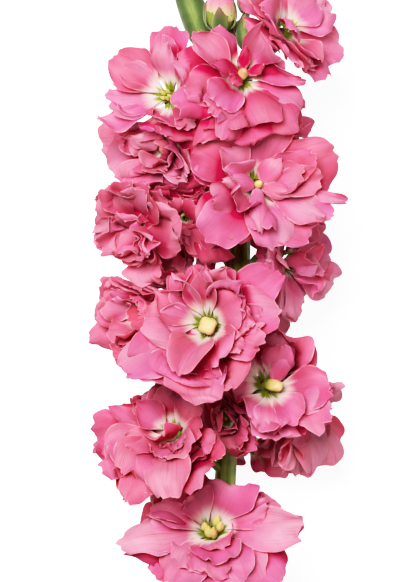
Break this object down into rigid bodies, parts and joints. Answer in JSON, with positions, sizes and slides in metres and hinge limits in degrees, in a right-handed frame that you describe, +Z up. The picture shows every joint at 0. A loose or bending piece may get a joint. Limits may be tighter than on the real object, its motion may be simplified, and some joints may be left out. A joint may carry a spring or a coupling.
{
  "type": "cut flower stem",
  "caption": "Cut stem of double-flowered pink stock lying on a flat surface, with short-stalked layered blooms, green buds at the tip and narrow leaves below.",
  "frame": {"origin": "middle of the part's box at the level of the surface that it lies on", "axes": "+Y along the stem from its cut end to its tip, +Z up from the surface"},
  "size_m": [0.096, 0.3054, 0.0681],
  "materials": {
    "green": "satin skin of a fresh green stem",
    "petal": "soft satin petal",
    "heart": "satin yellow-green bud",
    "bud_petal": "soft satin petal",
    "leaf": "matt, finely downy leaf"
  },
  "bodies": {
    "root": {"stem": "green", "bloom_01_petals": "petal", "bloom_01_heart": "heart", "bloom_02_petals": "petal", "bloom_02_heart": "heart", "bloom_03_petals": "petal", "bloom_03_heart": "heart", "bloom_04_petals": "petal", "bloom_04_heart": "heart", "bloom_05_petals": "petal", "bloom_05_heart": "heart", "bloom_06_petals": "petal", "bloom_06_heart": "heart", "bloom_07_petals": "petal", "bloom_07_heart": "heart", "bloom_08_petals": "petal", "bloom_08_heart": "heart", "bloom_09_petals": "petal", "bloom_09_heart": "heart", "bloom_10_petals": "petal", "bloom_10_heart": "heart", "bloom_11_petals": "petal", "bloom_11_heart": "heart", "bloom_12_petals": "petal", "bloom_12_heart": "heart", "bloom_13_petals": "petal", "bloom_13_heart": "heart", "bloom_14_petals": "petal", "bloom_14_heart": "heart", "bloom_15_petals": "petal", "bloom_15_heart": "heart", "bloom_16_petals": "petal", "bloom_16_heart": "heart", "bloom_17_petals": "petal", "bloom_17_heart": "heart", "bloom_18_petals": "petal", "bloom_18_heart": "heart", "bloom_19_petals": "petal", "bloom_19_heart": "heart", "bloom_20_petals": "petal", "bloom_20_heart": "heart", "bloom_21_petals": "petal", "bloom_21_heart": "heart", "bloom_22_petals": "petal", "bloom_22_heart": "heart", "bud_1_petals": "bud_petal", "bud_2_petals": "bud_petal", "bud_6_petals": "bud_petal", "leaf_1": "leaf", "leaf_2": "leaf", "leaf_3": "leaf", "leaf_4": "leaf", "leaf_5": "leaf", "leaf_6": "leaf"}
  },
  "joints": []
}
